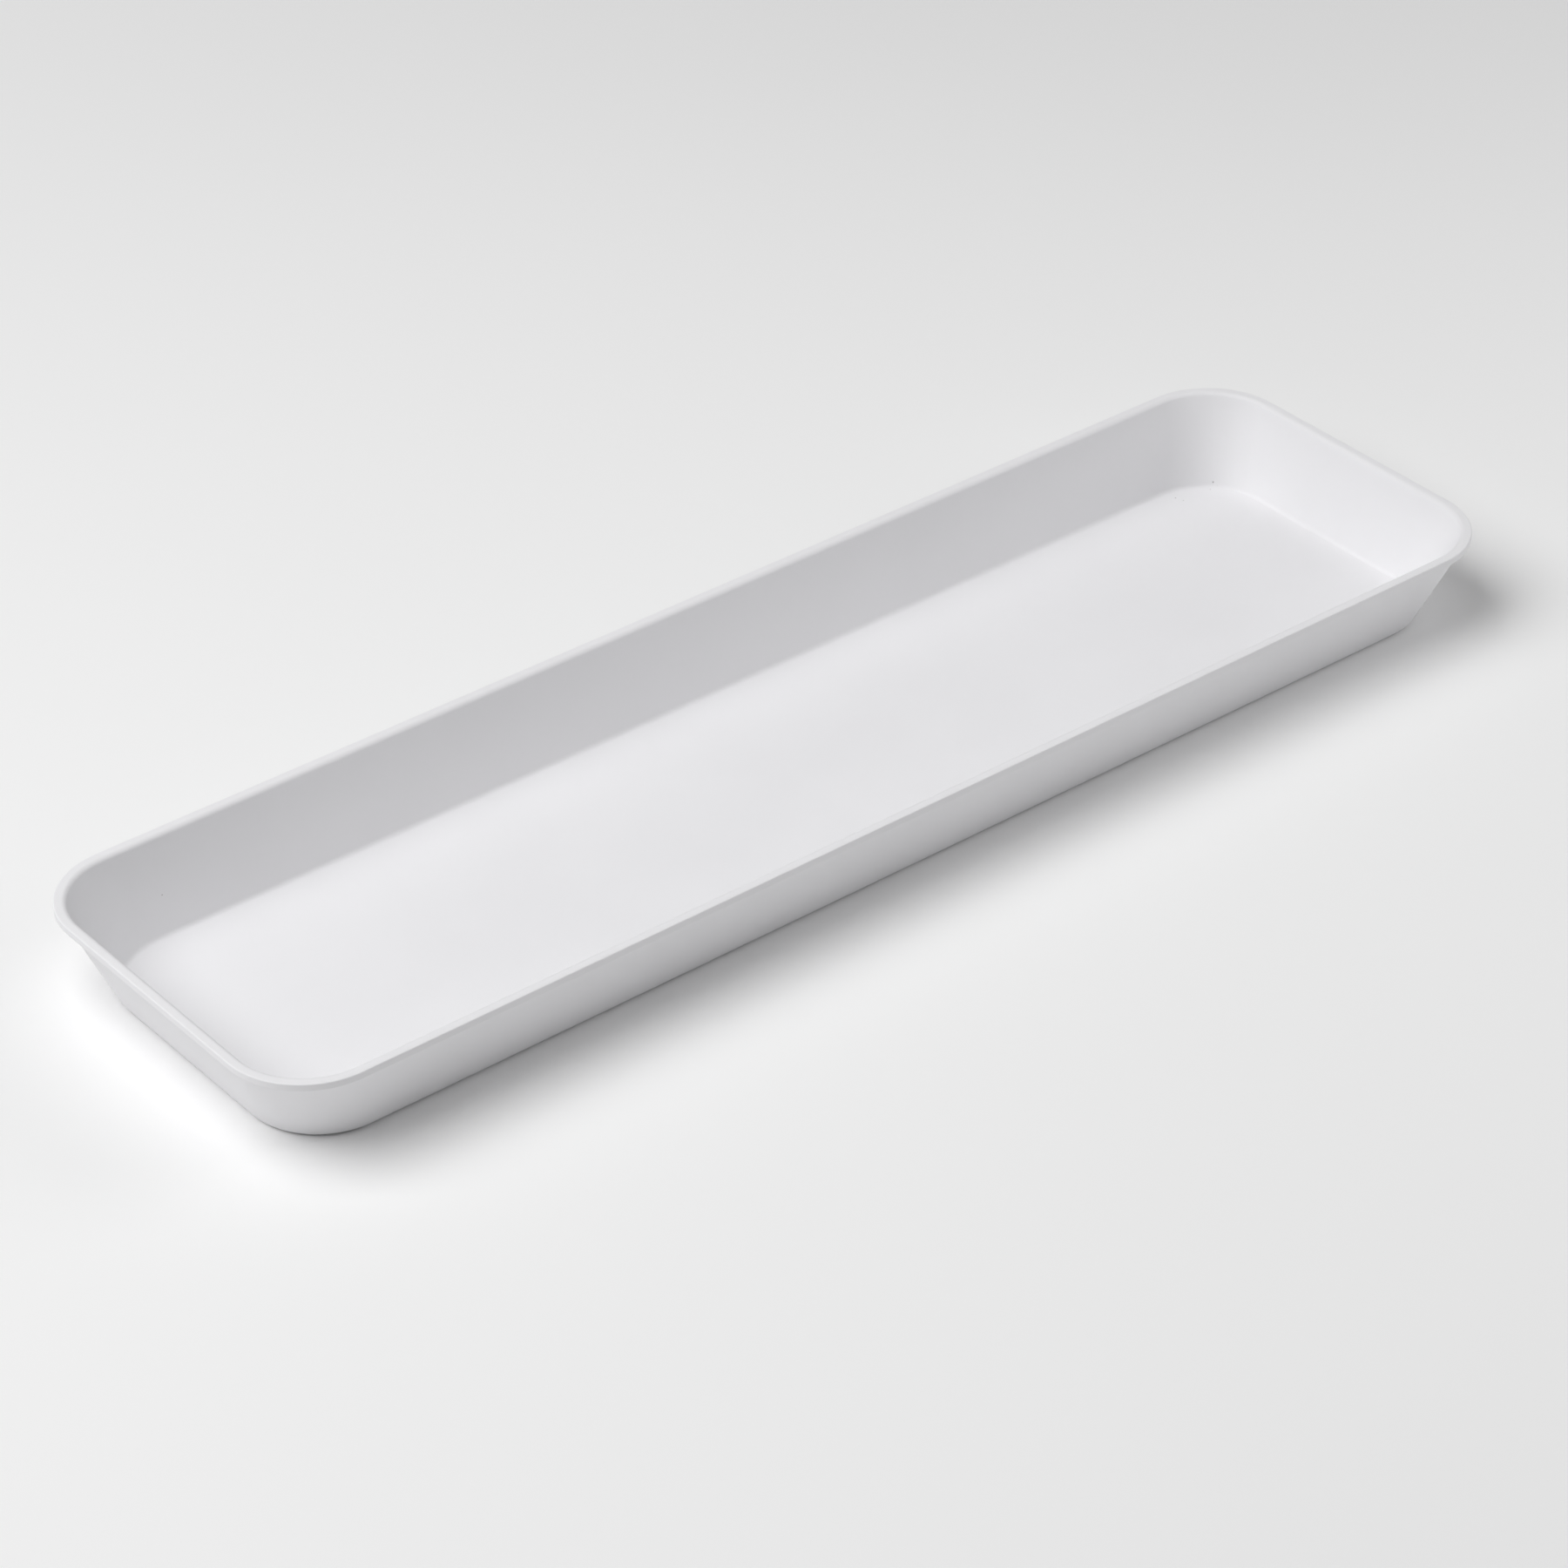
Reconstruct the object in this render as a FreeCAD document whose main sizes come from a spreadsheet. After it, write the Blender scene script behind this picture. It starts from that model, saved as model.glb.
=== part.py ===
import FreeCAD, Part
import Sketcher
import math
import os

# A shallow, open, one-piece moulded tray: a flat floor, four walls that lean outward on the way up,
# wide rounded corners and a slim lip that turns out round the top.
#
# Frame: millimetres, +Z up, +X along the length, +Y across the width.
# The origin is the middle of the flat underside, which is what the tray stands on.

# Driving dimensions, in millimetres: name, value, note. Each one becomes a cell of the sheet.
DRIVING = [
    ("length", 500.0, "over the lip, along X"),
    ("width", 145.0, "over the lip, along Y"),
    ("height", 32.3, "underside to the top of the lip"),
    ("lip_corner_radius", 28.5, "outer corner of the lip, in plan"),
    ("lip_depth", 2.65, "height of the lip's outer face"),
    ("lip_overhang", 2.1, "how far the lip stands out from the wall below it"),
    ("base_inset", 13.0, "lip outline to underside outline, on each side"),
    ("base_corner_radius", 26.0, "corner of the underside, in plan, before its edge is rounded"),
    ("wall_thickness", 2.5, "measured level, the same from floor to lip"),
    ("floor_thickness", 2.4, "underside to inner floor"),
    ("base_edge_radius", 3.0, "round between the underside and the outer wall"),
    ("floor_edge_radius", 1.8, "hollow round between the inner floor and the inner wall"),
    ("mouth_edge_radius", 2.0, "round between the inner wall and the top of the lip"),
    ("lip_edge_radius", 0.4, "round on the top and bottom edges of the lip's outer face"),
    ("lip_cove_radius", 0.8, "hollow round between the outer wall and the lip's underside"),
]

# Sizes that follow from the driving ones: name and formula.
DERIVED = [
    ("wall_height", "height - lip_depth"),
    ("wall_lean", "(base_inset - lip_overhang) / wall_height"),
    ("wall_top_radius", "lip_corner_radius - lip_overhang"),
    ("mouth_inset", "lip_overhang - wall_lean * lip_depth + wall_thickness"),
    ("mouth_radius", "lip_corner_radius - mouth_inset"),
    ("floor_inset", "mouth_inset + wall_lean * (height - floor_thickness)"),
    ("floor_radius", "base_corner_radius + base_inset - floor_inset"),
]

TOLERANCE = 0.01


def make_sheet(doc):
    """Put every dimension in a spreadsheet, one row each."""
    sheet = doc.addObject("Spreadsheet::Sheet", "Sizes")
    for row, (name, value, note) in enumerate(DRIVING, start=1):
        sheet.set(f"A{row}", name)
        sheet.set(f"B{row}", str(value))
        sheet.set(f"C{row}", note)
        sheet.setAlias(f"B{row}", name)
    for row, (name, formula) in enumerate(DERIVED, start=len(DRIVING) + 1):
        sheet.set(f"A{row}", name)
        sheet.set(f"B{row}", "=" + formula)
        sheet.setAlias(f"B{row}", name)
    doc.recompute()
    return sheet


def rounded_rectangle(body, name, level, inset, radius):
    """Sketch the lip's outline, pulled in by inset, on a plane at the given level.

    level, inset and radius are expressions of the sheet's names.
    """
    sketch = body.newObject("Sketcher::SketchObject", name)
    floor_plane = next(item for item in body.Origin.OriginFeatures if item.Role == "XY_Plane")
    sketch.AttachmentSupport = [(floor_plane, "")]
    sketch.MapMode = "FlatFace"
    sketch.setExpression("AttachmentOffset.Base.z", level)

    # The first shape has the right sense and about the right size. The constraints do the rest.
    half_x, half_y, corner = 200.0, 60.0, 20.0
    inner_x, inner_y = half_x - corner, half_y - corner
    side_ends = [
        (-inner_x, -half_y, inner_x, -half_y),
        (half_x, -inner_y, half_x, inner_y),
        (inner_x, half_y, -inner_x, half_y),
        (-half_x, inner_y, -half_x, -inner_y),
    ]
    corner_centres = [(inner_x, -inner_y), (inner_x, inner_y), (-inner_x, inner_y), (-inner_x, -inner_y)]
    sides = []
    corners = []
    for quarter in range(4):
        x1, y1, x2, y2 = side_ends[quarter]
        side = Part.LineSegment(FreeCAD.Vector(x1, y1, 0), FreeCAD.Vector(x2, y2, 0))
        sides.append(sketch.addGeometry(side))
        x, y = corner_centres[quarter]
        circle = Part.Circle(FreeCAD.Vector(x, y, 0), FreeCAD.Vector(0, 0, 1), corner)
        first_angle = math.radians(90 * (quarter - 1))
        arc = Part.ArcOfCircle(circle, first_angle, first_angle + math.radians(90))
        corners.append(sketch.addGeometry(arc))

    start, end, centre = 1, 2, 3
    for quarter in range(4):
        next_side = sides[(quarter + 1) % 4]
        sketch.addConstraint(Sketcher.Constraint("Tangent", sides[quarter], end, corners[quarter], start))
        sketch.addConstraint(Sketcher.Constraint("Tangent", corners[quarter], end, next_side, start))
    for along_x, along_y in ((sides[0], sides[1]), (sides[2], sides[3])):
        sketch.addConstraint(Sketcher.Constraint("Horizontal", along_x))
        sketch.addConstraint(Sketcher.Constraint("Vertical", along_y))
    for other in corners[1:]:
        sketch.addConstraint(Sketcher.Constraint("Equal", corners[0], other))
    # The opposite corners' centres lie evenly about the sketch's origin.
    origin = (-1, 1)
    sketch.addConstraint(Sketcher.Constraint("Symmetric", corners[0], centre, corners[2], centre, *origin))

    across = Sketcher.Constraint("DistanceX", sides[3], start, sides[1], start, 2 * half_x)
    along = Sketcher.Constraint("DistanceY", sides[0], start, sides[2], start, 2 * half_y)
    rounding = Sketcher.Constraint("Radius", corners[0], corner)
    formulas = [
        (across, f"Sizes.length - 2 * ({inset})"),
        (along, f"Sizes.width - 2 * ({inset})"),
        (rounding, radius),
    ]
    for constraint, formula in formulas:
        index = sketch.addConstraint(constraint)
        sketch.setExpression(f"Constraints[{index}]", formula)
    return sketch


def loft(body, kind, name, lower, upper):
    """A straight-sided loft between two outlines: PartDesign::AdditiveLoft or SubtractiveLoft."""
    feature = body.newObject(kind, name)
    feature.Profile = lower
    feature.Sections = [upper]
    feature.Ruled = True
    return feature


def level_loop(shape, level, widest):
    """Names of the edges that lie at one level, in the widest or the narrowest loop there."""
    level_edges = []
    for number, edge in enumerate(shape.Edges, start=1):
        middle = edge.valueAt((edge.FirstParameter + edge.LastParameter) / 2)
        points = [middle] + [vertex.Point for vertex in edge.Vertexes]
        if all(abs(point.z - level) < TOLERANCE for point in points):
            level_edges.append((f"Edge{number}", edge))

    def reach(loop):
        return max(abs(vertex.X) for edge in loop for vertex in edge.Vertexes)

    pick = max if widest else min
    loop = pick(Part.sortEdges([edge for name, edge in level_edges]), key=reach)
    return [name for name, edge in level_edges if any(edge.isSame(member) for member in loop)]


def round_edges(doc, body, name, level, widest, radius):
    """Fillet one level loop of the body's last shape, with the named cell as its radius."""
    base = body.Tip
    feature = body.newObject("PartDesign::Fillet", name)
    feature.Base = (base, level_loop(base.Shape, level, widest))
    feature.setExpression("Radius", f"Sizes.{radius}")
    doc.recompute()
    return feature


def make_tray(doc, sheet):
    """The whole tray, as one moulding of an even wall."""
    body = doc.addObject("PartDesign::Body", "Tray")
    body.Label = "tray"

    underside = rounded_rectangle(body, "Underside", "0 mm", "Sizes.base_inset", "Sizes.base_corner_radius")
    wall_top = rounded_rectangle(
        body, "WallTop", "Sizes.wall_height", "Sizes.lip_overhang", "Sizes.wall_top_radius")
    loft(body, "PartDesign::AdditiveLoft", "Walls", underside, wall_top)

    lip_outline = rounded_rectangle(body, "LipOutline", "Sizes.wall_height", "0", "Sizes.lip_corner_radius")
    lip = body.newObject("PartDesign::Pad", "Lip")
    lip.Profile = lip_outline
    lip.setExpression("Length", "Sizes.lip_depth")
    doc.recompute()
    solid_volume = lip.Shape.Volume

    floor_outline = rounded_rectangle(
        body, "FloorOutline", "Sizes.floor_thickness", "Sizes.floor_inset", "Sizes.floor_radius")
    mouth_outline = rounded_rectangle(
        body, "MouthOutline", "Sizes.height", "Sizes.mouth_inset", "Sizes.mouth_radius")
    hollow = loft(body, "PartDesign::SubtractiveLoft", "Hollow", floor_outline, mouth_outline)
    doc.recompute()
    if hollow.Shape.Volume > 0.5 * solid_volume:
        raise RuntimeError("the hollow took nothing out of the tray")

    round_edges(doc, body, "BaseEdge", 0, True, "base_edge_radius")
    round_edges(doc, body, "FloorEdge", sheet.floor_thickness, False, "floor_edge_radius")
    round_edges(doc, body, "LipCove", sheet.wall_height, False, "lip_cove_radius")
    round_edges(doc, body, "MouthEdge", sheet.height, False, "mouth_edge_radius")
    round_edges(doc, body, "LipTopEdge", sheet.height, True, "lip_edge_radius")
    round_edges(doc, body, "LipBottomEdge", sheet.wall_height, True, "lip_edge_radius")
    return body


def check(doc, parts):
    """Stop if anything in the document failed or if a part isn't one sound solid."""
    for item in doc.Objects:
        for state in ("Invalid", "Error"):
            if state in item.State:
                raise RuntimeError(f"{item.Name} is {item.State}")
    for part in parts:
        if part.Shape.isNull() or not part.Shape.isValid() or len(part.Shape.Solids) != 1:
            raise RuntimeError(f"{part.Label} is not one valid solid")


def main():
    doc = FreeCAD.newDocument("Tray")
    sheet = make_sheet(doc)
    parts = [make_tray(doc, sheet)]
    doc.recompute()
    check(doc, parts)

    os.makedirs("parts", exist_ok=True)
    for part in parts:
        part.Shape.exportStep(os.path.join("parts", part.Label + ".step"))
        box = part.Shape.optimalBoundingBox(False)
        size = f"{box.XLength:.2f} x {box.YLength:.2f} x {box.ZLength:.2f} mm"
        print(f"{part.Label}: {size}, from z = {box.ZMin:.2f}, {part.Shape.Volume / 1000:.1f} cm3")


main()
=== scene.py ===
import math

import bmesh
import bpy
from mathutils import Matrix, Vector


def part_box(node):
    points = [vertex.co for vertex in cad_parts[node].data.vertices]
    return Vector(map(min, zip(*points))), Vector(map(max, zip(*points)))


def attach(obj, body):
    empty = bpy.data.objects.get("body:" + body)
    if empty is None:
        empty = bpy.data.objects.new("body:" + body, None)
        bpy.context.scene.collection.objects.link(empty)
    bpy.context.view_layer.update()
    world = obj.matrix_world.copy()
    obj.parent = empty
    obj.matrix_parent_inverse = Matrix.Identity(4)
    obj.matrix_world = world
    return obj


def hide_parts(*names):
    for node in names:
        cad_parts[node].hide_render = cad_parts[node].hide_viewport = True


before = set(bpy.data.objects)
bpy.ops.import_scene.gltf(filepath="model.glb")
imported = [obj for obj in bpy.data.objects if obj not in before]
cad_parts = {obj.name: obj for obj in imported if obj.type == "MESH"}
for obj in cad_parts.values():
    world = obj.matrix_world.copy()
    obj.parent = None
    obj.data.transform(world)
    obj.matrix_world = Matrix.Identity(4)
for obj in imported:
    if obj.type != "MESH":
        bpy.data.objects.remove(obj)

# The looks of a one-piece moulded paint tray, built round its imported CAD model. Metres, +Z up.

MM = 0.001
TRAY_LOW, TRAY_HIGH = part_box("tray")
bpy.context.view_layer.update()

# ---------------------------------------------------------------------------------------------
# Sizes. The length, width and height are the CAD node's, and the rest are the moulding's own.

LENGTH, WIDTH, HEIGHT = TRAY_HIGH - TRAY_LOW
LIP_CORNER_RADIUS = 28.5 * MM
LIP_DEPTH = 2.65 * MM
LIP_OVERHANG = 2.1 * MM
BASE_INSET = 13.0 * MM
BASE_CORNER_RADIUS = 26.0 * MM
WALL_THICKNESS = 2.5 * MM
FLOOR_THICKNESS = 2.4 * MM

BASE_EDGE_RADIUS = 3.0 * MM
LIP_COVE_RADIUS = 0.8 * MM
LIP_EDGE_RADIUS = 0.4 * MM
MOUTH_EDGE_RADIUS = 2.0 * MM
FLOOR_EDGE_RADIUS = 1.8 * MM

# The walls lean outwards as they rise, at the same slope inside and out.
WALL_HEIGHT = HEIGHT - LIP_DEPTH
WALL_LEAN = (BASE_INSET - LIP_OVERHANG) / WALL_HEIGHT
MOUTH_INSET = LIP_OVERHANG - WALL_LEAN * LIP_DEPTH + WALL_THICKNESS
FLOOR_INSET = MOUTH_INSET + WALL_LEAN * (HEIGHT - FLOOR_THICKNESS)
FLOOR_CORNER_RADIUS = BASE_CORNER_RADIUS + BASE_INSET - FLOOR_INSET

# ---------------------------------------------------------------------------------------------
# The tray's mesh: one section, carried round a rounded rectangle, with a grid of quads in each flat.

CORNER_STEPS = 24
LONG_SIDE_STEPS = 48
SHORT_SIDE_STEPS = 10
ARC_STEPS = 8
RING_SPACING = 8.0 * MM
SUPPORT_GAP = 0.35 * MM
FLAT_BAND = 20.0 * MM

# The section's edges, from the underside, up the outside, over the lip and down to the floor:
# inset from the lip's outline, radius in plan at the corners, level, and radius of the edge itself.
SECTION = [
    (BASE_INSET + FLAT_BAND, BASE_CORNER_RADIUS - FLAT_BAND, 0, None),
    (BASE_INSET, BASE_CORNER_RADIUS, 0, BASE_EDGE_RADIUS),
    (LIP_OVERHANG, LIP_CORNER_RADIUS - LIP_OVERHANG, WALL_HEIGHT, LIP_COVE_RADIUS),
    (0, LIP_CORNER_RADIUS, WALL_HEIGHT, LIP_EDGE_RADIUS),
    (0, LIP_CORNER_RADIUS, HEIGHT, LIP_EDGE_RADIUS),
    (MOUTH_INSET, LIP_CORNER_RADIUS - MOUTH_INSET, HEIGHT, MOUTH_EDGE_RADIUS),
    (FLOOR_INSET, FLOOR_CORNER_RADIUS, FLOOR_THICKNESS, FLOOR_EDGE_RADIUS),
    (FLOOR_INSET + FLAT_BAND, FLOOR_CORNER_RADIUS - FLAT_BAND, FLOOR_THICKNESS, None),
]


def outline_stations():
    """The stations round the outline, anticlockwise from the middle of the corner at low X and low Y.

    Each is (x_share, y_share, angle): where its arc's centre stands, as a share of the way from the
    middle of the tray to the corner's centre, and the direction that it faces.
    """
    corners = [(-1, -1), (1, -1), (1, 1), (-1, 1)]
    stations = []
    for quarter, (x_share, y_share) in enumerate(corners):
        next_x, next_y = corners[(quarter + 1) % 4]
        for step in range(CORNER_STEPS + 1):
            angle = math.radians(180 + 90 * (quarter + step / CORNER_STEPS))
            stations.append((x_share, y_share, angle))
        side_steps = LONG_SIDE_STEPS if next_x != x_share else SHORT_SIDE_STEPS
        for step in range(1, side_steps):
            along = step / side_steps
            x_now = x_share + (next_x - x_share) * along
            y_now = y_share + (next_y - y_share) * along
            stations.append((x_now, y_now, angle))
    half_corner = CORNER_STEPS // 2
    return stations[half_corner:] + stations[:half_corner]


def outline_point(station, inset, corner_radius, level):
    """The point at a station of the lip's outline pulled in by inset, at one level."""
    x_share, y_share, angle = station
    x = x_share * (LENGTH / 2 - inset - corner_radius) + corner_radius * math.cos(angle)
    y = y_share * (WIDTH / 2 - inset - corner_radius) + corner_radius * math.sin(angle)
    return Vector((x, y, level))


def rounded_edge(before, edge, after, radius):
    """The points of the arc that rounds an edge, with one more on the flat to each side of it."""
    towards_before = (before - edge).normalized()
    towards_after = (after - edge).normalized()
    half_angle = towards_before.angle(towards_after) / 2
    reach = radius / math.tan(half_angle)
    centre = edge + (towards_before + towards_after).normalized() * (radius / math.sin(half_angle))
    first = edge + towards_before * reach - centre
    last = edge + towards_after * reach - centre
    points = [edge + towards_before * (reach + SUPPORT_GAP)]
    for step in range(ARC_STEPS + 1):
        points.append(centre + first.slerp(last, step / ARC_STEPS).normalized() * radius)
    points.append(edge + towards_after * (reach + SUPPORT_GAP))
    return points


def section_points(station):
    """The section's points at one station, from the underside round to the floor."""
    edges = [outline_point(station, *edge[:3]) for edge in SECTION]
    points = [edges[0]]
    for index in range(1, len(edges) - 1):
        points += rounded_edge(edges[index - 1], edges[index], edges[index + 1], SECTION[index][3])
    points.append(edges[-1])
    return points


def evenly_spaced(rings):
    """The rings, with more between any two that stand far apart."""
    spaced = [rings[0]]
    for lower, upper in zip(rings, rings[1:]):
        steps = math.ceil((upper[0] - lower[0]).length / RING_SPACING)
        for step in range(1, steps + 1):
            spaced.append([low.lerp(high, step / steps) for low, high in zip(lower, upper)])
    return spaced


def fill_flat(mesh, rim):
    """Closes a ring of vertices with a grid of quads, cornered at the middles of the ring's corners."""
    columns = LONG_SIDE_STEPS + CORNER_STEPS
    rows = SHORT_SIDE_STEPS + CORNER_STEPS
    near = rim[:columns + 1]
    right = rim[columns:columns + rows + 1]
    far = rim[columns + rows:2 * columns + rows + 1][::-1]
    left = (rim[2 * columns + rows:] + rim[:1])[::-1]
    grid = [near]
    for row in range(1, rows):
        up = row / rows
        line = [left[row]]
        for column in range(1, columns):
            along = column / columns
            from_sides = left[row].co.lerp(right[row].co, along)
            from_lengths = near[column].co.lerp(far[column].co, up)
            near_chord = near[0].co.lerp(near[-1].co, along)
            far_chord = far[0].co.lerp(far[-1].co, along)
            line.append(mesh.verts.new(from_sides + from_lengths - near_chord.lerp(far_chord, up)))
        line.append(right[row])
        grid.append(line)
    grid.append(far)
    for lower, upper in zip(grid, grid[1:]):
        for column in range(columns):
            mesh.faces.new((lower[column], lower[column + 1], upper[column + 1], upper[column]))


def make_tray():
    """The whole moulding as one closed mesh of quads."""
    sections = [section_points(station) for station in outline_stations()]
    rings = evenly_spaced(list(zip(*sections)))
    mesh = bmesh.new()
    loops = [[mesh.verts.new(point) for point in ring] for ring in rings]
    for lower, upper in zip(loops, loops[1:]):
        for index in range(len(lower)):
            mesh.faces.new((lower[index - 1], lower[index], upper[index], upper[index - 1]))
    fill_flat(mesh, loops[0])
    fill_flat(mesh, loops[-1])
    bmesh.ops.recalc_face_normals(mesh, faces=mesh.faces)
    data = bpy.data.meshes.new("tray_shell")
    mesh.to_mesh(data)
    mesh.free()
    data.shade_smooth()
    shell = bpy.data.objects.new("tray_shell", data)
    bpy.context.scene.collection.objects.link(shell)
    return shell


# ---------------------------------------------------------------------------------------------
# Materials.

PLASTIC_PALE = (0.876, 0.872, 0.889, 1)
PLASTIC_DEEP = (0.860, 0.856, 0.873, 1)
PLASTIC_IOR = 1.5
WIPED_ROUGHNESS = 0.58
MATT_ROUGHNESS = 0.68

# The plastic's textures: features per metre, and the depth of those that shape its surface.
# Noise gathers round a half, so the colour and the gloss each use a middle part of its range.
MOTTLE_SCALE = 14
MOTTLE_NOISE = (0.35, 0.65)
SHEEN_SCALE = 30
SHEEN_NOISE = (0.3, 0.7)
WAVE_SCALE = 35
WAVE_DEPTH = 0.02 * MM
GRAIN_SCALE = 1800
GRAIN_DEPTH = 0.025 * MM

WHITE = (1, 1, 1, 1)
PAPER_DEEP = (0.935, 0.935, 0.935, 1)
PAPER_PALE = (0.945, 0.945, 0.945, 1)
PAPER_SCALE = 3
PAPER_ROUGHNESS = 0.9
PAPER_SPECULAR = 0.1

GRIT_COLOR = (0.33, 0.32, 0.31, 1)

# Grains of grit caught in the plastic, by the far corners of the inside.
# Each has its middle and its radius, in millimetres.
GRIT = [
    ((229.7, 50.5, 4.1), 0.37),
    ((227.5, 49.5, 2.4), 0.25),
    ((230.5, 49.0, 3.0), 0.30),
    ((214.0, 53.0, 2.4), 0.34),
    ((215.0, 50.0, 2.4), 0.28),
    ((-205.5, 62.4, 14.7), 0.28),
]
GRIT_SOFT_EDGE = 0.25 * MM


def add_node(tree, kind, inputs=None, **settings):
    """A node with its properties set, and each input given a value or linked to a socket."""
    node = tree.nodes.new(kind)
    for name, value in settings.items():
        setattr(node, name, value)
    for name, value in (inputs or {}).items():
        if isinstance(value, bpy.types.NodeSocket):
            tree.links.new(value, node.inputs[name])
        else:
            node.inputs[name].default_value = value
    return node


def noise(tree, place, scale, detail):
    """A noise texture's value, from 0 to 1. Its scale is in features per metre."""
    inputs = {"Vector": place, "Scale": scale, "Detail": detail}
    return add_node(tree, "ShaderNodeTexNoise", inputs).outputs["Fac"]


def ranged(tree, value, low, high, to_low=0.0, to_high=1.0):
    """A value between low and high, moved to between to_low and to_high and held there."""
    inputs = {"Value": value, "From Min": low, "From Max": high, "To Min": to_low, "To Max": to_high}
    return add_node(tree, "ShaderNodeMapRange", inputs).outputs["Result"]


def larger(tree, first, second):
    """The larger of two values."""
    node = add_node(tree, "ShaderNodeMath", operation="MAXIMUM")
    tree.links.new(first, node.inputs[0])
    tree.links.new(second, node.inputs[1])
    return node.outputs["Value"]


def mixed(tree, factor, first, second):
    """The first colour, turning to the second as factor goes from 0 to 1."""
    inputs = {"Fac": factor, "Color1": first, "Color2": second}
    return add_node(tree, "ShaderNodeMixRGB", inputs).outputs["Color"]


def grain_of_grit(tree, place, middle, radius):
    """A value that is 1 inside one grain and falls to 0 round its soft edge."""
    distance = add_node(tree, "ShaderNodeVectorMath", operation="DISTANCE")
    tree.links.new(place, distance.inputs[0])
    distance.inputs[1].default_value = Vector(middle) * MM
    edge = radius * MM
    return ranged(tree, distance.outputs["Value"], edge, edge - GRIT_SOFT_EDGE)


def make_plastic():
    """Opaque white plastic: matt, with a fine mould texture, a faint mottle and a few grains of grit."""
    material = bpy.data.materials.new("white_plastic")
    material.use_nodes = True
    tree = material.node_tree
    shader = tree.nodes["Principled BSDF"]
    place = add_node(tree, "ShaderNodeTexCoord").outputs["Object"]

    # Colour: a slow mottle from how the plastic flowed, and the grains.
    mottle = ranged(tree, noise(tree, place, MOTTLE_SCALE, detail=3), *MOTTLE_NOISE)
    white = mixed(tree, mottle, PLASTIC_DEEP, PLASTIC_PALE)
    grit = grain_of_grit(tree, place, *GRIT[0])
    for middle, radius in GRIT[1:]:
        grit = larger(tree, grit, grain_of_grit(tree, place, middle, radius))
    tree.links.new(mixed(tree, grit, white, GRIT_COLOR), shader.inputs["Base Color"])

    # Gloss: nearly matt, with smoother patches where it has been handled and wiped.
    patches = noise(tree, place, SHEEN_SCALE, detail=4)
    roughness = ranged(tree, patches, *SHEEN_NOISE, WIPED_ROUGHNESS, MATT_ROUGHNESS)
    tree.links.new(roughness, shader.inputs["Roughness"])
    shader.inputs["IOR"].default_value = PLASTIC_IOR

    # Surface: a fine eroded mould texture over a very slight waviness.
    waves = noise(tree, place, WAVE_SCALE, detail=1)
    wave_inputs = {"Height": waves, "Strength": 1.0, "Distance": WAVE_DEPTH}
    waviness = add_node(tree, "ShaderNodeBump", wave_inputs).outputs["Normal"]
    grain = noise(tree, place, GRAIN_SCALE, detail=3)
    grain_inputs = {"Height": grain, "Strength": 1.0, "Distance": GRAIN_DEPTH, "Normal": waviness}
    surface = add_node(tree, "ShaderNodeBump", grain_inputs).outputs["Normal"]
    tree.links.new(surface, shader.inputs["Normal"])
    return material


def make_floor_material():
    """A plain, pale, matt studio floor. Beyond the lights' reach it glows, so it stays pale to its edge."""
    material = bpy.data.materials.new("studio_floor")
    material.use_nodes = True
    tree = material.node_tree
    shader = tree.nodes["Principled BSDF"]
    place = add_node(tree, "ShaderNodeTexCoord").outputs["Object"]
    paper = mixed(tree, noise(tree, place, PAPER_SCALE, detail=2), PAPER_DEEP, PAPER_PALE)
    tree.links.new(paper, shader.inputs["Base Color"])
    shader.inputs["Roughness"].default_value = PAPER_ROUGHNESS
    shader.inputs["Specular IOR Level"].default_value = PAPER_SPECULAR
    away = add_node(tree, "ShaderNodeVectorMath", {"Vector": place}, operation="LENGTH").outputs["Value"]
    glow_inputs = {"Value": away, "From Min": LIT_RADIUS, "From Max": GLOWING_RADIUS, "To Max": FAR_GLOW}
    glow = add_node(tree, "ShaderNodeMapRange", glow_inputs, interpolation_type="SMOOTHSTEP")
    tree.links.new(glow.outputs["Result"], shader.inputs["Emission Strength"])
    shader.inputs["Emission Color"].default_value = WHITE
    return material


# ---------------------------------------------------------------------------------------------
# The studio: floor, lights, world and camera.

FLOOR_GAP = 0.1 * MM
FLOOR_RADIUS = 6.0
FLOOR_SEGMENTS = 96

# The lights reach the floor well up to the first radius. Its glow grows from there to the second.
LIT_RADIUS = 0.5
GLOWING_RADIUS = 2.7
FAR_GLOW = 0.67

CAMERA_AZIMUTH = math.radians(-38.3)
CAMERA_ELEVATION = math.radians(34.0)
CAMERA_ROLL = math.radians(-0.86)
CAMERA_DISTANCE = 1.642
CAMERA_LENS = 116.7
CAMERA_SENSOR = 36
MOUTH_RIGHT_OF_AXIS = 4.9 * MM
MOUTH_ABOVE_AXIS = 26.8 * MM

# How bright the room is, as light on the tray and as the camera sees it.
ROOM_LIGHT = 0.12
ROOM_SEEN = 0.79


def make_floor(material):
    """A wide round floor just under the tray."""
    mesh = bmesh.new()
    bmesh.ops.create_circle(mesh, cap_ends=True, segments=FLOOR_SEGMENTS, radius=FLOOR_RADIUS)
    bmesh.ops.translate(mesh, verts=mesh.verts, vec=(0, 0, TRAY_LOW.z - FLOOR_GAP))
    data = bpy.data.meshes.new("studio_floor")
    mesh.to_mesh(data)
    mesh.free()
    floor = bpy.data.objects.new("studio_floor", data)
    data.materials.append(material)
    bpy.context.scene.collection.objects.link(floor)
    return floor


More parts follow.
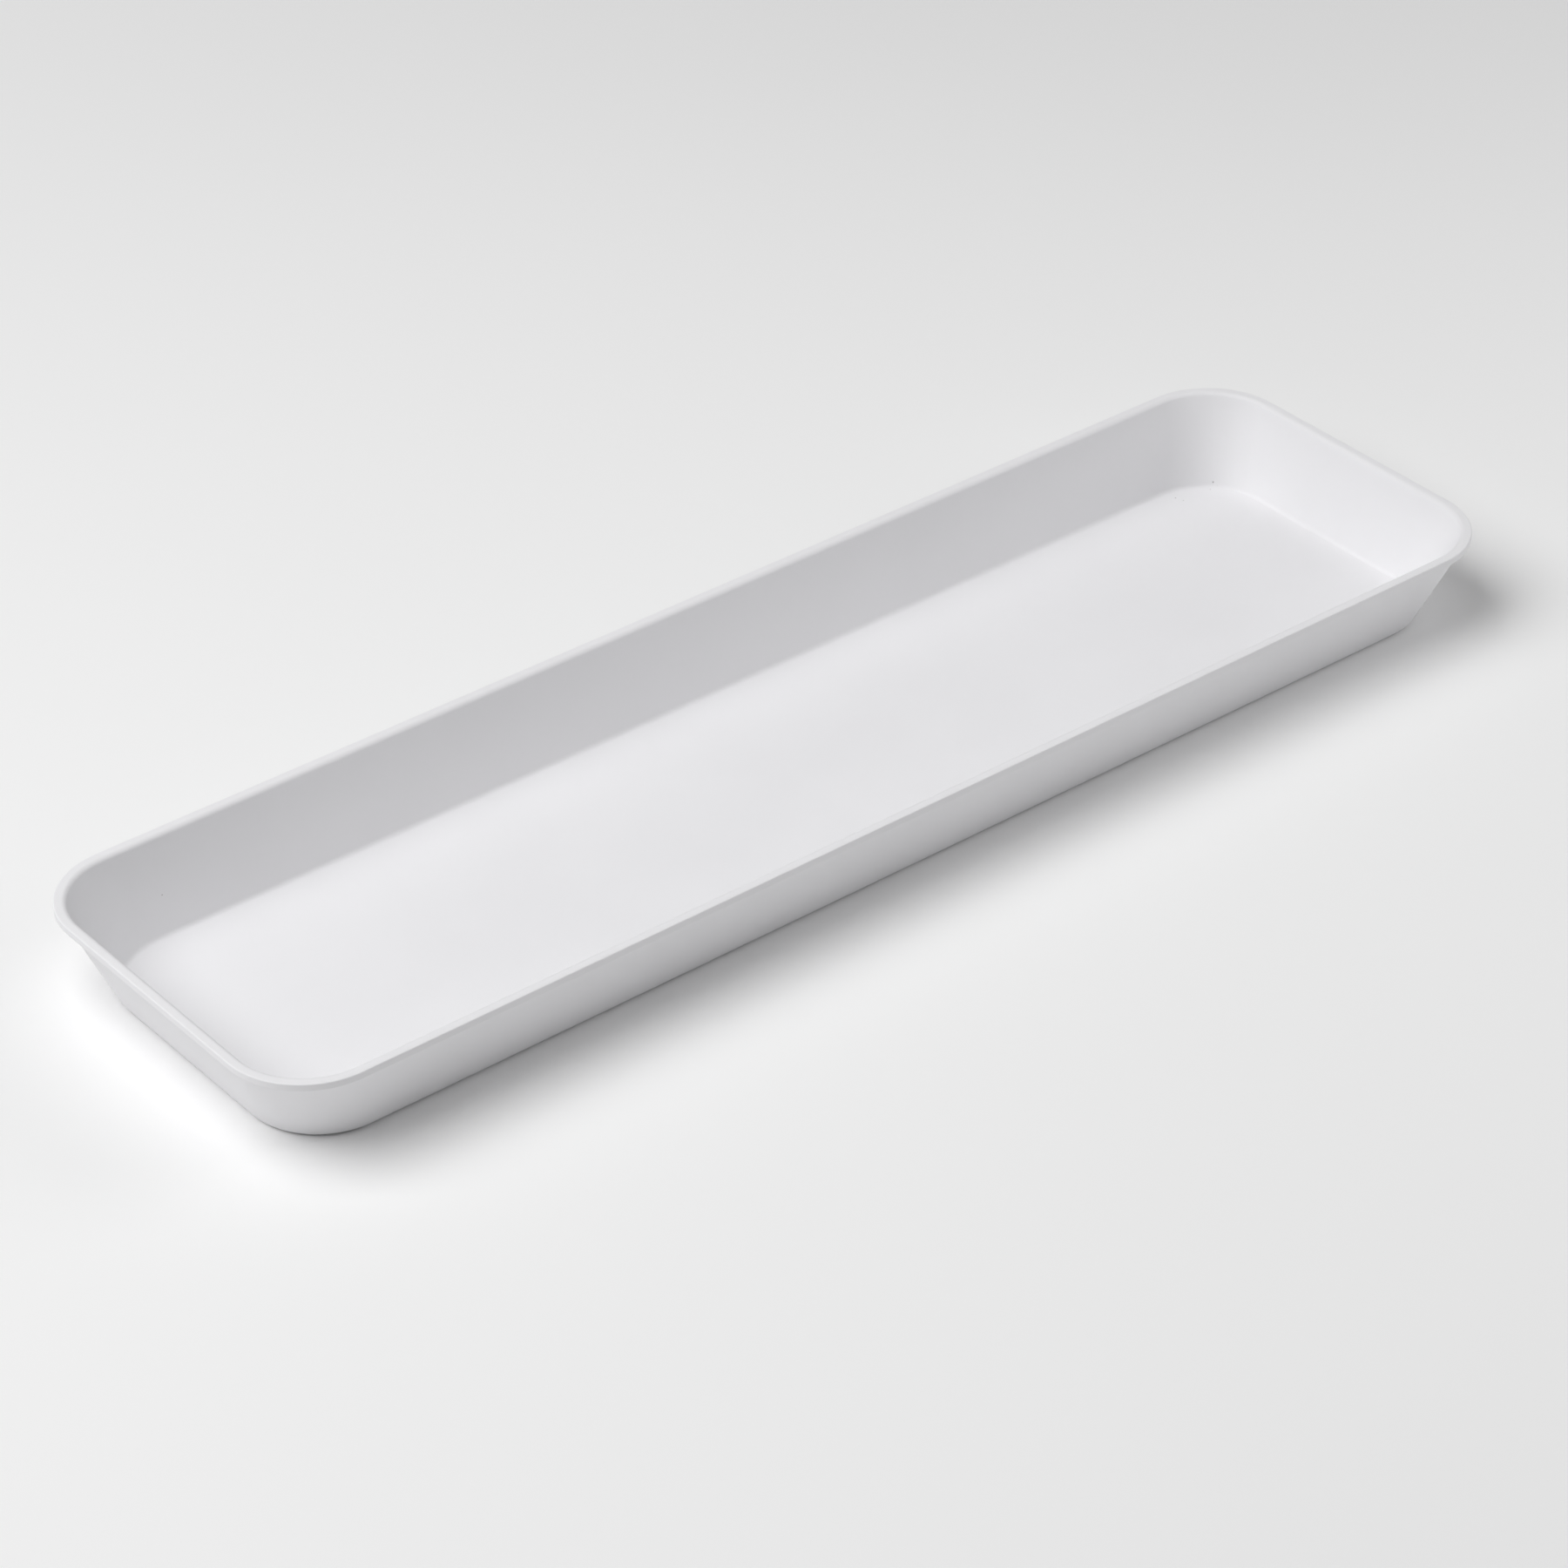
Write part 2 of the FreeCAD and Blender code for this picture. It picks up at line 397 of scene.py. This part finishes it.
def add_softbox(name, azimuth, elevation, distance, size, spread, watts):
    """A square area light that faces the tray. Its azimuth goes round from +X towards +Y."""
    light = bpy.data.lights.new(name, "AREA")
    light.shape = "SQUARE"
    light.size = size
    light.spread = math.radians(spread)
    light.energy = watts
    lamp = bpy.data.objects.new(name, light)
    turn = Matrix.Rotation(math.radians(azimuth), 3, "Z")
    tilt = Matrix.Rotation(math.radians(-elevation), 3, "Y")
    lamp.location = turn @ tilt @ Vector((distance, 0, 0))
    lamp.rotation_euler = lamp.location.to_track_quat("Z", "Y").to_euler()
    lamp.visible_camera = False
    bpy.context.scene.collection.objects.link(lamp)


def make_world():
    """Faint even light from all round. Past the floor's edge the camera sees it as pale as the floor."""
    world = bpy.data.worlds.new("studio_world")
    world.use_nodes = True
    tree = world.node_tree
    background = tree.nodes["Background"]
    background.inputs["Color"].default_value = WHITE
    seen = add_node(tree, "ShaderNodeLightPath").outputs["Is Camera Ray"]
    tree.links.new(ranged(tree, seen, 0, 1, ROOM_LIGHT, ROOM_SEEN), background.inputs["Strength"])
    bpy.context.scene.world = world


def make_camera():
    """The camera, aimed by its angles at a point set off a little from the middle of the mouth."""
    data = bpy.data.cameras.new("camera")
    data.sensor_width = CAMERA_SENSOR
    data.lens = CAMERA_LENS
    camera = bpy.data.objects.new("camera", data)
    mouth_middle = Vector((0, 0, TRAY_HIGH.z))
    tilt = math.radians(90) - CAMERA_ELEVATION
    turned = Matrix.Rotation(CAMERA_AZIMUTH, 4, "Z") @ Matrix.Rotation(tilt, 4, "X")
    rolled = turned @ Matrix.Rotation(CAMERA_ROLL, 4, "Z")
    offset = Vector((-MOUTH_RIGHT_OF_AXIS, -MOUTH_ABOVE_AXIS, CAMERA_DISTANCE))
    camera.matrix_world = Matrix.Translation(mouth_middle) @ rolled @ Matrix.Translation(offset)
    bpy.context.scene.collection.objects.link(camera)
    bpy.context.scene.camera = camera


# ---------------------------------------------------------------------------------------------
# The scene.

make_camera()
make_world()
bpy.context.scene.view_settings.view_transform = "Standard"

tray_shell = make_tray()
tray_shell.data.materials.append(make_plastic())
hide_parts("tray")
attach(tray_shell, "root")

make_floor(make_floor_material())
add_softbox("key_light", azimuth=158, elevation=58, distance=2.2, size=1.9, spread=140, watts=28.9)
add_softbox("fill_light", azimuth=-30, elevation=25, distance=1.3, size=0.8, spread=120, watts=1.9)
